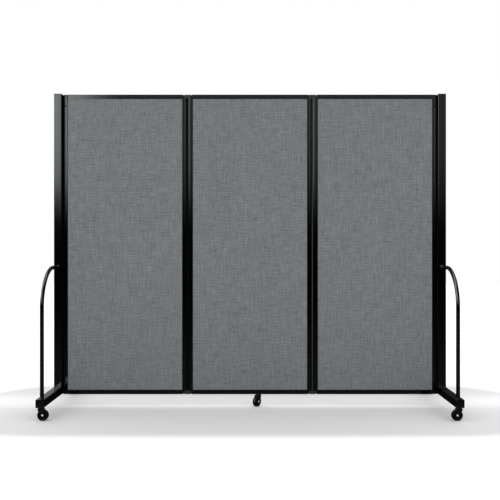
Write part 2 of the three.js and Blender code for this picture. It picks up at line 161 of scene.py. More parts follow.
# Casters: the ball race stands between a fork's crown and the underside of the rail or leg over it.
# The wheel's half width and the rivet's reach are in millimetres, like the profiles they are for.
RACE_FOOT = 54.7 * MILLIMETRE
RACE_GAP = 0.4 * MILLIMETRE
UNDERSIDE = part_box("middle_bottom_rail")[0].z
WHEEL_HALF_WIDTH = 8.5
RIVET_REACH = 11.6
WHEEL_SIDES = 72
RIVET_SIDES = 40
RACE_SIDES = 56

# Floor: grey near the line along the wall's foot, then painted light: it glows white further off, and a
# painted glow makes it a little lighter behind the wall.
FLOOR_HALF = 12
FLOOR_GREY = (0.9, 0.9, 0.9)
FLOOR_LINE_HALF = 0.9
FLOOR_FADE_START = 0.5
FLOOR_FADE_END = 0.61
# Strengths of the floor's painted glow: far from the wall, and behind it.
FLOOR_FAR_GLOW = 0.32
FLOOR_GLOW = 0.16
FLOOR_GLOW_CENTRE = 0.12
FLOOR_GLOW_START = 0.02
FLOOR_GLOW_END = 0.22

# Camera: its lens and its sensor are in millimetres.
CAMERA_PLACE = (0, -3.370, 0.769)
CAMERA_LENS = 49.2
CAMERA_SENSOR = 36

# Light that falls on dull surfaces: how bright the dome is at each height in degrees.
DOME_STRENGTH = 1.035
DOME_HEIGHTS = ((-90, 0.36), (0, 0.36), (10, 0.8), (40, 1.0), (90, 1.0))

# What glossy paint sees in a dark studio: a fill, a soft box, a lamp and the ceiling. A light's brightness
# is its strength, times its value at a height over the horizon, times its value at a turn from -Y towards
# +X, both in degrees. The fill's strength is 1, and the ceiling has the same value at every turn.
FILL_HEIGHTS = (
    (-90, 0.12), (-10.5, 0.11), (-8, 0.06), (-4, 0.01), (0, 0.01), (2, 0.02),
    (4, 0.17), (8, 0.45), (12.6, 0.5), (20, 0.4), (28, 0.05), (90, 0.03),
)
FILL_TURNS = ((-130, 0.1), (-100, 1.0), (100, 1.0), (130, 0.1))
BOX_STRENGTH = 6.7
BOX_HEIGHTS = (
    (1.5, 0.0), (2.8, 0.01), (4.2, 0.17), (5.6, 0.66), (8, 0.82),
    (10.4, 0.95), (12.7, 1.0), (40, 1.0), (60, 0.0),
)
BOX_TURNS = (
    (-180, 0.02), (-158, 0.07), (-135, 0.3), (-95, 1.0), (-68, 1.0),
    (-60, 0.05), (-18.5, 0.05), (-17, 0.63), (-14.5, 0.63), (-12, 0.0),
)
LAMP_STRENGTH = 4.5
LAMP_HEIGHTS = ((14, 0.0), (22, 1.0), (60, 1.0), (70, 0.0))
LAMP_TURNS = ((-64, 0.0), (-56, 1.0), (-27, 1.0), (-20, 0.0))
CEILING_STRENGTH = 3.0
CEILING_HEIGHTS = ((55, 0.0), (67, 1.0), (90, 1.0))
WHITE = (1, 1, 1)
GLOSS_TINT = (0.92, 1.02, 0.98)


# ---------------------------------------------------------------- shader nodes


def colors(sockets):
    """The colour sockets of a Mix node, which has others under the same names."""
    return [socket for socket in sockets if socket.type == "RGBA"]


class Graph:
    """A tree of shader nodes, with short ways to add them and join them up."""

    def __init__(self, tree):
        self.tree = tree

    def add(self, kind, **settings):
        """A new node with some of its settings."""
        node = self.tree.nodes.new(kind)
        for name, value in settings.items():
            setattr(node, name, value)
        return node

    def feed(self, socket, source):
        """Gives an input the output of another node, a colour or a number."""
        if isinstance(source, bpy.types.NodeSocket):
            self.tree.links.new(source, socket)
        elif isinstance(source, tuple):
            socket.default_value = (*source, 1)
        else:
            socket.default_value = source

    def calculate(self, operation, *values):
        """The result of a Math node."""
        node = self.add("ShaderNodeMath", operation=operation)
        for socket, value in zip(node.inputs, values):
            self.feed(socket, value)
        return node.outputs["Value"]

    def carry(self, value, start, end, low=0.0, high=1.0, curve="LINEAR"):
        """A value carried from the range from start to end to the range from low to high."""
        node = self.add("ShaderNodeMapRange", interpolation_type=curve)
        self.feed(node.inputs["Value"], value)
        self.feed(node.inputs["From Min"], start)
        self.feed(node.inputs["From Max"], end)
        self.feed(node.inputs["To Min"], low)
        self.feed(node.inputs["To Max"], high)
        return node.outputs["Result"]

    def blend(self, factor, first, second, kind="MIX"):
        """Two colours mixed by a factor."""
        node = self.add("ShaderNodeMix", data_type="RGBA", blend_type=kind)
        for socket, source in zip((node.inputs["Factor"], *colors(node.inputs)), (factor, first, second)):
            self.feed(socket, source)
        return colors(node.outputs)[0]

    def ramp(self, source, stops):
        """Straight lines through (position, value) stops."""
        node = self.add("ShaderNodeValToRGB")
        elements = node.color_ramp.elements
        while len(elements) < len(stops):
            elements.new(0.5)
        for element, (position, value) in zip(elements, stops):
            element.position = position
            element.color = (value, value, value, 1)
        self.feed(node.inputs["Fac"], source)
        return node.outputs["Color"]

    def split(self, vector):
        """The x, y and z of a vector."""
        node = self.add("ShaderNodeSeparateXYZ")
        self.feed(node.inputs["Vector"], vector)
        return node.outputs


class Finish(Graph):
    """A procedural material, and the nodes that feed its Principled shader."""

    def __init__(self, name, **values):
        self.material = bpy.data.materials.new(name)
        self.material.use_nodes = True
        super().__init__(self.material.node_tree)
        self.inputs = self.tree.nodes["Principled BSDF"].inputs
        self.place = self.add("ShaderNodeTexCoord").outputs["Object"]
        for socket, value in values.items():
            self.feed(self.inputs[socket.replace("_", " ")], value)

    def noise(self, scale, detail=2.0, roughness=0.5):
        """Soft noise with that many grains to the metre, or with a different number along each axis."""
        place = self.place
        if isinstance(scale, tuple):
            mapping = self.add("ShaderNodeMapping")
            mapping.inputs["Scale"].default_value = scale
            self.feed(mapping.inputs["Vector"], place)
            place, scale = mapping.outputs["Vector"], 1
        node = self.add("ShaderNodeTexNoise")
        self.feed(node.inputs["Scale"], scale)
        self.feed(node.inputs["Detail"], detail)
        self.feed(node.inputs["Roughness"], roughness)
        self.feed(node.inputs["Vector"], place)
        return node.outputs["Fac"]

    def cells(self, scale):
        """How far each point is from the walls of a foam of cells."""
        node = self.add("ShaderNodeTexVoronoi", feature="DISTANCE_TO_EDGE")
        self.feed(node.inputs["Scale"], scale)
        self.feed(node.inputs["Vector"], self.place)
        return node.outputs["Distance"]

    def wave(self, direction, pitch):
        """Sine bands across one axis, one every pitch metres."""
        node = self.add("ShaderNodeTexWave", bands_direction=direction)
        self.feed(node.inputs["Scale"], WAVE_PITCH / pitch)
        self.feed(node.inputs["Vector"], self.place)
        return node.outputs["Fac"]

    def spread(self, grain, low, high):
        """Noise carried from 0.3 to 0.7, where nearly all of it lies, to the range from low to high."""
        return self.carry(grain, 0.3, 0.7, low, high)

    def color(self, source):
        """Sets the base colour."""
        self.feed(self.inputs["Base Color"], source)

    def roughness(self, grain, low, high):
        """Lets the roughness follow a noise, from low to high."""
        self.feed(self.inputs["Roughness"], self.spread(grain, low, high))

    def relief(self, height, depth, strength=1.0):
        """Bumps of that depth in metres, over any that are there already."""
        bump = self.add("ShaderNodeBump")
        self.feed(bump.inputs["Strength"], strength)
        self.feed(bump.inputs["Distance"], depth)
        self.feed(bump.inputs["Height"], height)
        normal = self.inputs["Normal"]
        if normal.links:
            self.feed(bump.inputs["Normal"], normal.links[0].from_socket)
        self.feed(normal, bump.outputs["Normal"])


# ---------------------------------------------------------------- materials


def darker(color, share):
    """A colour with that share of its brightness."""
    return tuple(share * value for value in color)


def gloss_paint(name, base, gloss, orange_peel):
    """Powder paint: a dark base, faint smears in its gloss, and orange peel."""
    finish = Finish(name, IOR=1.5)
    smears = finish.noise(9, detail=4, roughness=0.6)
    finish.color(finish.blend(smears, darker(base, 0.7), base))
    finish.roughness(smears, *gloss)
    finish.relief(finish.noise(420), orange_peel)
    finish.relief(finish.noise(34), 6 * orange_peel)
    return finish.material


def moulded_plastic(name, base, specular):
    """Black plastic with a fine spark-eroded grain."""
    finish = Finish(name, IOR=1.46, Specular_IOR_Level=specular)
    grain = finish.noise(1500, detail=3, roughness=0.7)
    finish.color(finish.blend(grain, darker(base, 0.5), base))
    finish.roughness(finish.noise(40, detail=3), 0.26, 0.4)
    finish.relief(grain, 0.03 * MILLIMETRE)
    return finish.material


def gap_seal(name, base):
    """Dull rubber of the bars that close the gaps."""
    finish = Finish(name, Roughness=0.85, IOR=1.45, Specular_IOR_Level=0.15)
    dust = finish.noise(200, detail=3, roughness=0.6)
    finish.color(finish.blend(dust, darker(base, 0.5), base))
    finish.relief(dust, 0.05 * MILLIMETRE)
    return finish.material


def heather_fabric():
    """Grey panel cloth: slubbed and flecked yarns both ways, a hopsack weave, and a faint grid in it."""
    finish = Finish("grey_fabric", Roughness=0.92, IOR=1.4, Specular_IOR_Level=0.2)
    finish.feed(finish.inputs["Sheen Weight"], 0.04)
    finish.feed(finish.inputs["Sheen Roughness"], 0.5)
    across, along = SLUBS_PER_METRE
    warp = finish.noise((across, across, along), detail=3, roughness=0.62)
    weft = finish.noise((along, along, across), detail=3, roughness=0.62)
    slubs = finish.calculate("ADD", warp, weft)
    flecks = finish.noise(420, detail=3, roughness=0.7)
    yarn = finish.calculate("MULTIPLY_ADD", flecks, FLECK_SHARE, slubs)
    shade = finish.spread(finish.calculate("DIVIDE", yarn, 2 + FLECK_SHARE), 0.4, 1.6)
    weave = finish.calculate("MULTIPLY", finish.wave("X", YARN_PITCH), finish.wave("Z", YARN_PITCH))
    shade = finish.calculate("MULTIPLY", shade, finish.calculate("MULTIPLY_ADD", weave, 0.4, 0.9))
    grid = finish.calculate("ADD", finish.wave("X", HEAVY_YARN_PITCH), finish.wave("Z", HEAVY_YARN_PITCH))
    shade = finish.calculate("MULTIPLY", shade, finish.calculate("MULTIPLY_ADD", grid, 0.06, 0.94))
    tint = finish.blend(finish.noise(14), (0.177, 0.189, 0.196), (0.185, 0.194, 0.205))
    finish.color(finish.blend(1.0, tint, shade, "MULTIPLY"))
    finish.relief(weave, 0.2 * MILLIMETRE, 0.9)
    finish.relief(slubs, 0.18 * MILLIMETRE, 0.5)
    return finish.material


def tack_board():
    """Brown fibre board under the cloth."""
    finish = Finish("tack_board", Roughness=0.85)
    fibres = finish.noise(900, detail=4, roughness=0.7)
    finish.color(finish.blend(fibres, (0.16, 0.1, 0.055), (0.28, 0.19, 0.11)))
    finish.relief(fibres, 0.1 * MILLIMETRE)
    return finish.material


def kraft_honeycomb():
    """Brown kraft paper cells between the boards."""
    finish = Finish("core_filler", Roughness=0.9)
    walls = finish.cells(70)
    pulp = finish.noise(260, detail=4, roughness=0.65)
    paper = finish.blend(pulp, (0.24, 0.16, 0.085), (0.38, 0.27, 0.155))
    finish.color(finish.blend(finish.spread(walls, 0.2, 1.0), (0.1, 0.065, 0.035), paper))
    finish.relief(walls, 2 * MILLIMETRE)
    return finish.material


def wheel_tread():
    """Black polyurethane with a worn, slightly dusty face."""
    finish = Finish("wheel_tread", IOR=1.48, Specular_IOR_Level=0.2)
    scuffs = finish.noise(150, detail=4, roughness=0.65)
    finish.color(finish.blend(scuffs, (0.0015, 0.0015, 0.0016), (0.004, 0.004, 0.0043)))
    finish.roughness(scuffs, 0.3, 0.5)
    finish.relief(scuffs, 0.05 * MILLIMETRE)
    return finish.material


def plated_steel(name, base, gloss):
    """Plated steel with fine turning marks."""
    finish = Finish(name, Metallic=0.5)
    marks = finish.noise((300, 2400, 300), detail=3, roughness=0.6)
    finish.color(finish.blend(marks, darker(base, 0.8), base))
    finish.roughness(marks, *gloss)
    finish.relief(marks, 0.02 * MILLIMETRE)
    return finish.material


BLACK_FRAME = gloss_paint("black_frame", (0.0009, 0.0009, 0.0011), (0.055, 0.09), 0.004 * MILLIMETRE)
BLACK_TUBE = gloss_paint("black_tube", (0.0009, 0.0009, 0.0011), (0.055, 0.09), 0.004 * MILLIMETRE)
BLACK_FORK = gloss_paint("black_fork", (0.002, 0.002, 0.0022), (0.16, 0.24), 0.008 * MILLIMETRE)
BLACK_WELD = gloss_paint("black_weld", (0.0012, 0.0012, 0.0014), (0.1, 0.16), 0.02 * MILLIMETRE)
BLACK_MOULDING = moulded_plastic("black_moulding", (0.0036, 0.0036, 0.004), 0.2)
HINGE_MOULDING = moulded_plastic("hinge_moulding", (0.026, 0.027, 0.028), 0.6)
GAP_SEAL = gap_seal("gap_seal", (0.0024, 0.0024, 0.0026))
# A lighter copy of the same rubber: painted light, for the light that shows through the right joint's gap.
LIT_GAP_SEAL = gap_seal("lit_gap_seal", (0.062, 0.062, 0.064))
GREY_FABRIC = heather_fabric()
TACK_BOARD = tack_board()
CORE_FILLER = kraft_honeycomb()
WHEEL_TREAD = wheel_tread()
BRIGHT_STEEL = plated_steel("bright_steel", (0.9, 0.9, 0.91), (0.26, 0.38))
DARK_STEEL = plated_steel("dark_steel", (0.11, 0.11, 0.115), (0.3, 0.42))


# ---------------------------------------------------------------- mesh helpers


def mesh_object(name, vertices, faces):
    """A new mesh in the scene."""
    mesh = bpy.data.meshes.new(name)
    mesh.from_pydata(vertices, [], faces)
    made = bpy.data.objects.new(name, mesh)
    bpy.context.scene.collection.objects.link(made)
    return made


def piece(name, vertices, faces, material, body, slot, replaced=()):
    """A smooth mesh that rides on a body, and stands for the CAD nodes in replaced."""
    made = mesh_object(name, vertices, faces)
    made.data.materials.append(material)
    made.data.shade_smooth()
    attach(made, body)
    if replaced:
        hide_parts(*replaced)
    return made


def loft(rings, loop=False):
    """Vertices and faces of a skin over rings of points, with flat ends or joined into a loop."""
    count = len(rings[0])
    vertices = [point for ring in rings for point in ring]
    faces = []
    for i in range(len(rings) if loop else len(rings) - 1):
        first, second = i * count, (i + 1) % len(rings) * count
        for j in range(count):
            k = (j + 1) % count
            faces.append((first + j, first + k, second + k, second + j))
    if not loop:
        faces.append(tuple(reversed(range(count))))
        faces.append(tuple(range((len(rings) - 1) * count, len(rings) * count)))
    return vertices, faces


def together(*parts):
    """Several lots of vertices and faces as one."""
    vertices, faces = [], []
    for more, skin in parts:
        start = len(vertices)
        vertices += more
        faces += [tuple(start + i for i in face) for face in skin]
    return vertices, faces


def square_to(axis):
    """Two unit directions at right angles to an axis and to each other."""
    first = axis.orthogonal().normalized()
    return first, axis.cross(first)


def circle(centre, first, second, radius, sides):
    """A ring of points in the plane of two unit directions."""
    angles = [2 * math.pi * i / sides for i in range(sides)]
    return [centre + radius * (first * math.cos(a) + second * math.sin(a)) for a in angles]


def lathe(profile, centre, axis, sides, loop=False):
    """A profile of (radius, distance along the axis) pairs, turned about an axis."""
    plane = square_to(axis)
    return loft([circle(centre + axis * along, *plane, radius, sides) for radius, along in profile], loop)


def rounded_square(centre, first, second, side, corner):
    """A ring of points round a square with rounded corners."""
    points = []
    inner = side / 2 - corner
    for quarter in range(4):
        middle = (quarter + 0.5) * math.pi / 2
        for i in range(CORNER_STEPS + 1):
            angle = (quarter + i / CORNER_STEPS) * math.pi / 2
            across = math.copysign(inner, math.cos(middle)) + corner * math.cos(angle)
            along = math.copysign(inner, math.sin(middle)) + corner * math.sin(angle)
            points.append(centre + first * across + second * along)
    return points


def arc(centre, radius, start, end, steps):
    """Points of an arc in a plane, as (x, y) pairs."""
    angles = [math.radians(start + (end - start) * i / steps) for i in range(steps + 1)]
    return [(centre[0] + radius * math.cos(a), centre[1] + radius * math.sin(a)) for a in angles]


def soften(made, width, segments=2):
    """Rounds a mesh's sharp edges and evens out its shading."""
    weld = made.modifiers.new("weld", "WELD")
    weld.merge_threshold = SAME_POINT
    bevel = made.modifiers.new("edges", "BEVEL")
    bevel.width = width
    bevel.segments = segments
    bevel.angle_limit = SHARP_ANGLE
    made.modifiers.new("normals", "WEIGHTED_NORMAL").keep_sharp = False


def drill(made, foot, height, radius):
    """Cuts an upright round hole through a piece's mesh."""
    rings = [circle(foot + UP * rise, ACROSS, BACK, radius, BORE_SIDES) for rise in (0, height)]
    tool = mesh_object("drill", *loft(rings))
    cut = made.modifiers.new("hole", "BOOLEAN")
    cut.operation = "DIFFERENCE"
    cut.solver = "EXACT"
    cut.object = tool
    graph = bpy.context.evaluated_depsgraph_get()
    drilled = bpy.data.meshes.new_from_object(made.evaluated_get(graph))
    made.modifiers.clear()
    made.data = drilled
    mesh = tool.data
    bpy.data.objects.remove(tool)
    bpy.data.meshes.remove(mesh)


def finish_node(node, material, width):
    """Dresses a CAD node in a material, with rounded edges."""
    made = NODES[node]
    made.data.materials.clear()
    made.data.materials.append(material)
    made.data.shade_smooth()
    soften(made, width)
    return made


# ---------------------------------------------------------------- panels


def fabric_rise(low, high, x, z, direction):
    """How far the cloth stands out from a board's face: a soft crown, and a little unevenness."""
    edge = min(x - low.x, high.x - x, z - low.z, high.z - z)
    slope = min(1, max(0, edge - FABRIC_FOLD) / FABRIC_CROWN_EDGE)
    across, along = x * FABRIC_SWELLS_PER_METRE, z * FABRIC_SWELLS_PER_METRE
    swell = noise.noise(Vector((across, along, direction * FABRIC_SWELL_SHIFT)))
    return math.sin(math.pi / 2 * slope) ** 2 * (FABRIC_CROWN + swell * FABRIC_UNEVENNESS)


def fabric_field(low, high, direction):
    """The cloth on a board's face, in rows from the lower left corner."""
    outer = low.y if direction < 0 else high.y
    width = high.x - low.x - 2 * FABRIC_FOLD
    height = high.z - low.z - 2 * FABRIC_FOLD
    points, faces = [], []
    for j in range(FABRIC_ROWS + 1):
        z = low.z + FABRIC_FOLD + height * j / FABRIC_ROWS
        for i in range(FABRIC_COLUMNS + 1):
            x = low.x + FABRIC_FOLD + width * i / FABRIC_COLUMNS
            points.append(Vector((x, outer + direction * fabric_rise(low, high, x, z, direction), z)))
    stride = FABRIC_COLUMNS + 1
    for j in range(FABRIC_ROWS):
        for i in range(FABRIC_COLUMNS):
            corner = j * stride + i
            faces.append((corner, corner + 1, corner + stride + 1, corner + stride))
    return points, faces


def fold_profile(thickness):
    """A cloth's way round a board's edge: (distance out from the edge, depth behind the face) pairs."""
    front = arc((-FABRIC_FOLD, FABRIC_FOLD), FABRIC_FOLD, -90, 0, FOLD_STEPS)
    rear = arc((-FABRIC_FOLD, thickness - FABRIC_FOLD), FABRIC_FOLD, 0, 90, FOLD_STEPS)
    return front + rear + [(-FABRIC_RETURN, thickness)]


def fabric(panel, face, direction):
    """A cloth over one board: the main field, and a flap folded round each edge."""
    node = f"{panel}_{face}_board"
    low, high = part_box(node)
    thickness = high.y - low.y
    field, faces = fabric_field(low, high, direction)
    stride = FABRIC_COLUMNS + 1
    top_row = FABRIC_ROWS * stride
    edges = (
        (range(0, top_row + 1, stride), -ACROSS),
        (range(FABRIC_COLUMNS, top_row + stride, stride), ACROSS),
        (range(stride), -UP),
        (range(top_row, top_row + stride), UP),
    )
    vertices = list(field)
    for edge, outward in edges:
        before = edge
        for out, depth in fold_profile(thickness)[1:]:
            after = range(len(vertices), len(vertices) + len(edge))
            shift = outward * (out + FABRIC_FOLD) - BACK * direction * depth
            vertices += [field[corner] + shift for corner in edge]
            faces += [(a, b, d, c) for a, b, c, d in zip(before, before[1:], after, after[1:])]
            before = after
    name = f"{panel}_{face}_fabric"
    made = piece(name, vertices, faces, GREY_FABRIC, f"{panel}_panel", "grey_fabric")


def board(panel, face):
    """The tack board under a cloth, drawn in from the cloth by a little on every side."""
    made = finish_node(f"{panel}_{face}_board", TACK_BOARD, BOARD_EDGE)
    made.modifiers.new("inset", "DISPLACE").strength = -BOARD_INSET


for panel in PANELS:
    for part in ("top_rail", "bottom_rail", "left_stile", "right_stile"):
        finish_node(f"{panel}_{part}", BLACK_FRAME, PAINTED_EDGE)
    finish_node(f"{panel}_core", CORE_FILLER, PAINTED_EDGE)
    for face, direction in FACES.items():
        fabric(panel, face, direction)
        board(panel, face)
finish_node("middle_caster_socket", BLACK_MOULDING, MOULDED_EDGE)


# ---------------------------------------------------------------- hinges


def screw_head(name, centre, axis, body):
    """A low domed screw head with a cross recess."""
    plane = square_to(axis)
    rings = [circle(centre - axis * SCREW_SKIRT * SCREW_RADIUS, *plane, SCREW_RADIUS, SCREW_SIDES)]
    for i in range(SCREW_RINGS):
        share = 1 - i / SCREW_RINGS
        dome = SCREW_DOME * SCREW_RADIUS * math.sqrt(1 - share**2)
        ring = circle(centre + axis * dome, *plane, SCREW_RADIUS * share, SCREW_SIDES)
        for j, point in enumerate(ring):
            off_cross = abs(math.sin(4 * math.pi * j / SCREW_SIDES)) * share
            if off_cross < CROSS_WIDTH and share < CROSS_REACH:
                ring[j] = point - axis * CROSS_DEPTH * SCREW_RADIUS
        rings.append(ring)
    made = piece(name, *loft(rings), DARK_STEEL, body, "bright_steel")
    soften(made, SMALL_EDGE, 1)


def hinge_block(side, end, direction):
    """A hinge's block and the two screws on its outer face."""
    block = f"{side}_hinge_{end}_block"
    finish_node(block, HINGE_MOULDING, MOULDED_EDGE)
    low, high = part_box(block)
    outer = high.z if direction > 0 else low.z
    for label, shift in (("inner", -SCREW_OFFSET), ("outer", SCREW_OFFSET)):
        boss = Vector(((low.x + high.x) / 2 + shift, 0, outer))
        screw_head(f"{block}_{label}_screw", boss, UP * direction, f"{side}_hinge")


# The right joint's spine gets the lighter copy of the seal, as painted light through its gap.
for side, seal in zip(SIDES, (GAP_SEAL, LIT_GAP_SEAL)):
    finish_node(f"{side}_hinge_spine", seal, MOULDED_EDGE)
    finish_node(f"{side}_hinge_strip", GAP_SEAL, MOULDED_EDGE)
    for end, direction in HINGE_BLOCKS.items():
        hinge_block(side, end, direction)


# ---------------------------------------------------------------- end frames


def bead(path, tangents, binormal, closed):
    """A rippled weld bead along a flat path, with tapered ends if it is open."""
    rings = []
    length = 0
    for i, (point, tangent) in enumerate(zip(path, tangents)):
        length += (point - path[i - 1]).length if i else 0
        size = WELD_RADIUS + WELD_RIPPLE * math.cos(2 * math.pi * length / WELD_PITCH)
        if not closed:
            along = 2 * i / (len(path) - 1) - 1
            size *= WELD_TIP + (1 - WELD_TIP) * math.sqrt(1 - along**8)
        rings.append(circle(point, tangent.cross(binormal), binormal, size, WELD_SIDES))
    return loft(rings, closed)


def ring_bead(centre, first, second, radius):
    """A weld bead round a tube."""
    path = circle(centre, first, second, radius, RING_WELD_STEPS)
    tangents = circle(Vector(), second, -first, 1, RING_WELD_STEPS)
    return bead(path, tangents, first.cross(second), closed=True)


def line_bead(start, end, binormal):
    """A straight weld bead."""
    tangent = (end - start).normalized()
    path = [start.lerp(end, i / LINE_WELD_STEPS) for i in range(LINE_WELD_STEPS + 1)]
    return bead(path, [tangent] * len(path), binormal, closed=False)


def arch(side, end, direction):
    """A bent tube from the leg up to the post, and its two welds."""
    node = f"{side}_{end}_arch"
    low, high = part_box(node)
    radius = (high.x - low.x) / 2
    x = (low.x + high.x) / 2
    top = high.z - radius
    foot = max(abs(low.y), abs(high.y)) - radius
    post = min(abs(low.y), abs(high.y))
    stations = [(foot, low.z, 0)]
    for i in range(BEND_STEPS + 1):
        angle = math.pi / 2 * i / BEND_STEPS
        reach = foot - BEND_RADIUS + BEND_RADIUS * math.cos(angle)
        stations.append((reach, top - BEND_RADIUS + BEND_RADIUS * math.sin(angle), angle))
    stations.append((post, top, math.pi / 2))
    rings = []
    for reach, z, angle in stations:
        outward = BACK * direction * math.cos(angle) + UP * math.sin(angle)
        rings.append(circle(Vector((x, direction * reach, z)), ACROSS, outward, radius, ARCH_SIDES))
    body = f"{side}_end_frame"
    piece(node.replace("arch", "arch_tube"), *loft(rings), BLACK_TUBE, body, "black_tube", [node])
    at_foot = ring_bead(Vector((x, direction * foot, low.z)), ACROSS, BACK, radius)
    at_post = ring_bead(Vector((x, direction * post, top)), ACROSS, UP, radius)
    piece(f"{node}_welds", *together(at_foot, at_post), BLACK_WELD, body, "black_tube")


def plug_rings(inner, outer, plane, side):
    """The plug of a cap inside its tube, fluted across, from its inner end to the lid."""
    rings = []
    steps = 4 * PLUG_FLUTES
    for i in range(steps + 1):
        drawn_in = PLUG_FLUTE if i % 4 in (1, 2) else 0
        rings.append(rounded_square(inner.lerp(outer, i / steps), *plane, side - 2 * drawn_in, PLUG_CORNER))
    return rings


def lid_rings(outer, axis, plane, side, thickness):
    """The lid of a cap, from its underside up its side, over its rounded rim and into its dish."""
    rings = [rounded_square(outer - axis * thickness, *plane, side, TUBE_CORNER)]
    for inset, rise in arc((CAP_ROUNDING, 0), CAP_ROUNDING, 180, 90, CORNER_STEPS):
        centre = outer - axis * (CAP_ROUNDING - rise)
        rings.append(rounded_square(centre, *plane, side - 2 * inset, TUBE_CORNER - inset / 2))
    for step, depth in ((0, 0), (1, DISH_DEPTH), (2, DISH_DEPTH)):
        inset = DISH_INSET + step * DISH_SLOPE
        rings.append(rounded_square(outer - axis * depth, *plane, side - 2 * inset, DISH_CORNER))
    return rings


def tube_cap(node, body, axis, thickness, stem=None):
    """A moulded cap. A caster's stem, if there is one, turns in a hole up through its plug."""
    low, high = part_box(node)
    plane = (ACROSS, axis.cross(ACROSS))
    side = high.x - low.x
    middle = (low + high) / 2
    half = abs((high - middle).dot(axis))
    outer = middle + axis * half
    inner = middle - axis * half
    plug = plug_rings(inner, outer - axis * thickness, plane, side - TUBE_WALLS)
    lid = lid_rings(outer, axis, plane, side, thickness)
    made = piece(node + "_lid", *loft(plug + lid), BLACK_MOULDING, body, "black_moulding", [node])
    if stem:
        foot = Vector((stem[0], stem[1], low.z - MILLIMETRE))
        drill(made, foot, high.z - low.z + 2 * MILLIMETRE, STEM_BORE)
    soften(made, CAP_EDGE)


def end_frame(side):
    """A post and a leg with their caps, and the two arches between them."""
    body = f"{side}_end_frame"
    finish_node(f"{side}_post", BLACK_TUBE, PAINTED_EDGE)
    finish_node(f"{side}_leg", BLACK_TUBE, PAINTED_EDGE)
    tube_cap(f"{side}_post_cap", body, UP, POST_LID)
    low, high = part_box(f"{side}_post")
    beads = []
    for end, direction in LEG_ENDS.items():
        arch(side, end, direction)
        stem = JOINTS[f"{side}_{end}_swivel"]["pos_m"]
        tube_cap(f"{side}_{end}_leg_cap", body, BACK * direction, LEG_LID, stem)
        y = direction * high.y
        beads.append(line_bead(Vector((low.x, y, low.z)), Vector((high.x, y, low.z)), UP))
    piece(f"{side}_post_welds", *together(*beads), BLACK_WELD, body, "black_tube")


for side in SIDES:
    end_frame(side)


# ---------------------------------------------------------------- casters


def rim_profile(half):
    """One half of a wheel's hub, web and rim, from the bore out: (radius, offset) in millimetres."""
    hub = [(3.5, half - 0.4), (4.2, half), (7.6, half), (8.4, half - 0.7)]
    web = [(8.9, half - 3.4), (9.8, half - 4.1), (15.8, half - 4.1), (16.7, half - 3.4)]
    rim = [(17.3, half - 0.9), (18.0, half - 0.3), (19.6, half - 0.3), (20.0, half - 0.8), (20.0, 0)]
    return hub + web + rim


def tread_profile(half):
    """One half of a tyre, from its groove against the rim to the middle of its face, in the same way."""
    wall = [(20.1, 0), (20.1, half - 1.2), (20.5, half - 0.6), (21.2, half - 0.2)]
    shoulder = arc((22.6, half - 2.4), 2.4, 90, 20, CORNER_STEPS)
    face = [(25.0, half - 4.2), (25.0, 0)]
    return wall + shoulder + face


def rivet_profile(reach):
    """One half of a rivet, from the tip of its domed head to its shaft, in the same way."""
    head, dome, shaft = 4.6, 1.6, 3.0
    rises = ((0.2, 1), (2.0, 0.93), (3.4, 0.7), (4.2, 0.4))
    tip = [(radius, reach + share * dome) for radius, share in rises]
    return tip + [(head, reach + 0.1), (head, reach), (shaft, reach)]


def race_profile(height):
    """The two cups of the ball race under a socket: (radius, height over the crown) pairs."""
    lower = ((12.0, 0.0), (12.6, 0.08), (12.6, 0.38), (12.1, 0.45), (11.2, 0.47))
    upper = ((11.2, 0.56), (12.3, 0.58), (12.9, 0.66), (12.9, 0.87), (12.5, 0.95), (9.0, 1.0))
    return [(radius * MILLIMETRE, share * height) for radius, share in lower + upper]


def in_metres(profile):
    """A profile in millimetres, as one in metres."""
    return [(radius * MILLIMETRE, along * MILLIMETRE) for radius, along in profile]


def mirrored(profile):
    """A profile's points on the other side of the middle, in the opposite order."""
    return [(radius, -along) for radius, along in reversed(profile)]


def wheel_ring(half_profile, centre, axis):
    """A turned ring: half of its section, and the same mirrored but for its first and last point."""
    outline = half_profile + mirrored(half_profile[1:-1])
    return lathe(in_metres(outline), centre, axis, WHEEL_SIDES, loop=True)


def caster(name):
    """One caster: its fork, and the finer pieces about its roll and swivel axes."""
    roll, swivel = JOINTS[f"{name}_roll"], JOINTS[f"{name}_swivel"]
    fork, wheel = roll["parent"], roll["child"]
    hub, axis = Vector(roll["pos_m"]), Vector(roll["axis"]).normalized()
    part = f"{name}_caster"
    tread = wheel_ring(tread_profile(WHEEL_HALF_WIDTH), hub, axis)
    made = piece(f"{part}_tyre", *tread, WHEEL_TREAD, wheel, "wheel_tread", [f"{part}_wheel"])
    soften(made, TURNED_EDGE, 1)
    rim = wheel_ring(rim_profile(WHEEL_HALF_WIDTH), hub, axis)
    made = piece(f"{part}_rim", *rim, BLACK_MOULDING, wheel, "black_moulding")
    soften(made, TURNED_EDGE, 1)
    half = rivet_profile(RIVET_REACH)
    rivet = lathe(in_metres(half + mirrored(half)), hub, axis, RIVET_SIDES)
    made = piece(f"{part}_rivet", *rivet, BRIGHT_STEEL, fork, "bright_steel", [f"{part}_axle"])
    soften(made, TURNED_EDGE, 1)
    finish_node(f"{part}_fork", BLACK_FORK, PRESSED_EDGE)
    foot = Vector((swivel["pos_m"][0], swivel["pos_m"][1], RACE_FOOT))
    race = lathe(race_profile(UNDERSIDE - RACE_FOOT - RACE_GAP), foot, UP, RACE_SIDES)
    made = piece(f"{part}_race", *race, BLACK_FORK, fork, "black_fork")
    soften(made, SMALL_EDGE, 1)


for name in CASTERS:
    caster(name)


# ---------------------------------------------------------------- studio


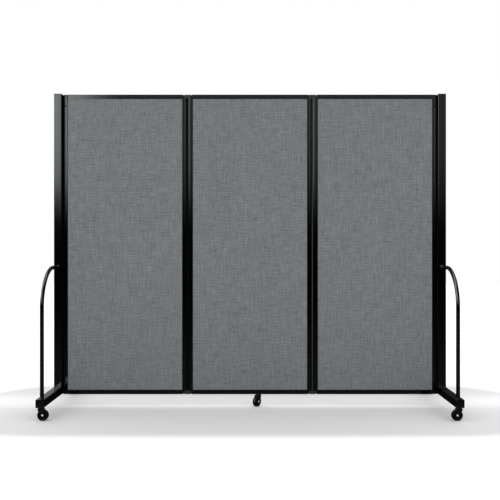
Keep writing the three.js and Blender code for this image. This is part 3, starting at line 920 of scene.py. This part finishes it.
def floor_light(finish):
    """The floor's own painted light, which turns it white away from the wall and a little lighter behind it.
    """
    x, y, _ = finish.split(finish.place)
    outside = []
    for along, half in ((x, FLOOR_LINE_HALF), (y, 0.0)):
        past = finish.calculate("SUBTRACT", finish.calculate("ABSOLUTE", along), half)
        outside.append(finish.calculate("POWER", finish.calculate("MAXIMUM", past, 0), 2))
    distance = finish.calculate("SQRT", finish.calculate("ADD", *outside))
    # Painted light: the floor glows white away from the wall, and a little lighter behind it.
    white = finish.carry(distance, FLOOR_FADE_START, FLOOR_FADE_END, curve="SMOOTHSTEP")
    behind = finish.calculate("ABSOLUTE", finish.calculate("SUBTRACT", y, FLOOR_GLOW_CENTRE))
    glow = finish.carry(behind, FLOOR_GLOW_END, FLOOR_GLOW_START, curve="SMOOTHSTEP")
    glow = finish.calculate("MULTIPLY", glow, FLOOR_GLOW)
    return finish.calculate("ADD", glow, finish.calculate("MULTIPLY", white, FLOOR_FAR_GLOW))


def floor():
    """A plain pale floor that glows with painted light of its own, which glossy paint doesn't see."""
    corners = [(x, y, 0) for x in (-FLOOR_HALF, FLOOR_HALF) for y in (-FLOOR_HALF, FLOOR_HALF)]
    made = mesh_object("floor", corners, [(0, 2, 3, 1)])
    finish = Finish("pale_floor", Base_Color=FLOOR_GREY, Roughness=1.0, Specular_IOR_Level=0.0)
    # The emission here is painted light, not a lamp.
    finish.feed(finish.inputs["Emission Color"], WHITE)
    finish.feed(finish.inputs["Emission Strength"], floor_light(finish))
    made.data.materials.append(finish.material)
    made.visible_glossy = False


class Sky(Graph):
    """The world's shader: brightness by a direction's height and turn, which both run from 0 to 1."""

    def __init__(self, name):
        world = bpy.data.worlds.new(name)
        bpy.context.scene.world = world
        world.use_nodes = True
        super().__init__(world.node_tree)
        self.tree.nodes.clear()
        x, y, z = self.split(self.add("ShaderNodeTexCoord").outputs["Generated"])
        self.height = self.calculate("MULTIPLY_ADD", z, 0.5, 0.5)
        turn = self.calculate("ARCTAN2", x, self.calculate("MULTIPLY", y, -1))
        self.turn = self.calculate("MULTIPLY_ADD", turn, 0.5 / math.pi, 0.5)

    def by_height(self, stops):
        """Brightness through (degrees over the horizon, value) stops."""
        places = [(0.5 + 0.5 * math.sin(math.radians(degrees)), value) for degrees, value in stops]
        return self.ramp(self.height, places)

    def by_turn(self, stops):
        """Brightness through (degrees from -Y towards +X, value) stops."""
        return self.ramp(self.turn, [(0.5 + degrees / 360, value) for degrees, value in stops])

    def lamp(self, heights, turns):
        """A soft patch of light."""
        return self.calculate("MULTIPLY", self.by_height(heights), self.by_turn(turns))


def reflections(sky):
    """What glossy paint sees: a weak fill, a big soft box, a lamp and a light ceiling."""
    fill = sky.lamp(FILL_HEIGHTS, FILL_TURNS)
    box = sky.lamp(BOX_HEIGHTS, BOX_TURNS)
    lamp = sky.lamp(LAMP_HEIGHTS, LAMP_TURNS)
    ceiling = sky.by_height(CEILING_HEIGHTS)
    light = sky.calculate("MULTIPLY_ADD", box, BOX_STRENGTH, fill)
    light = sky.calculate("MULTIPLY_ADD", lamp, LAMP_STRENGTH, light)
    return sky.calculate("MULTIPLY_ADD", ceiling, CEILING_STRENGTH, light)


def studio():
    """White behind the object, soft light from above on dull surfaces, and soft boxes for glossy paint."""
    sky = Sky("studio")
    rays = sky.add("ShaderNodeLightPath").outputs
    seen, glossy = rays["Is Camera Ray"], rays["Is Glossy Ray"]
    others = sky.calculate("SUBTRACT", 1, sky.calculate("MAXIMUM", glossy, seen))
    dome = sky.calculate("MULTIPLY", sky.by_height(DOME_HEIGHTS), DOME_STRENGTH)
    light = sky.calculate("MULTIPLY_ADD", others, dome, seen)
    light = sky.calculate("MULTIPLY_ADD", glossy, reflections(sky), light)
    background = sky.add("ShaderNodeBackground")
    sky.feed(background.inputs["Color"], sky.blend(glossy, WHITE, GLOSS_TINT))
    sky.feed(background.inputs["Strength"], light)
    output = sky.add("ShaderNodeOutputWorld")
    sky.feed(output.inputs["Surface"], background.outputs["Background"])


def camera():
    """A level camera in front of the wall's middle."""
    data = bpy.data.cameras.new("camera")
    data.lens = CAMERA_LENS
    data.sensor_width = CAMERA_SENSOR
    made = bpy.data.objects.new("camera", data)
    made.location = CAMERA_PLACE
    made.rotation_euler = (math.pi / 2, 0, 0)
    bpy.context.scene.collection.objects.link(made)
    bpy.context.scene.camera = made


floor()
studio()
camera()
bpy.context.scene.view_settings.view_transform = "Standard"
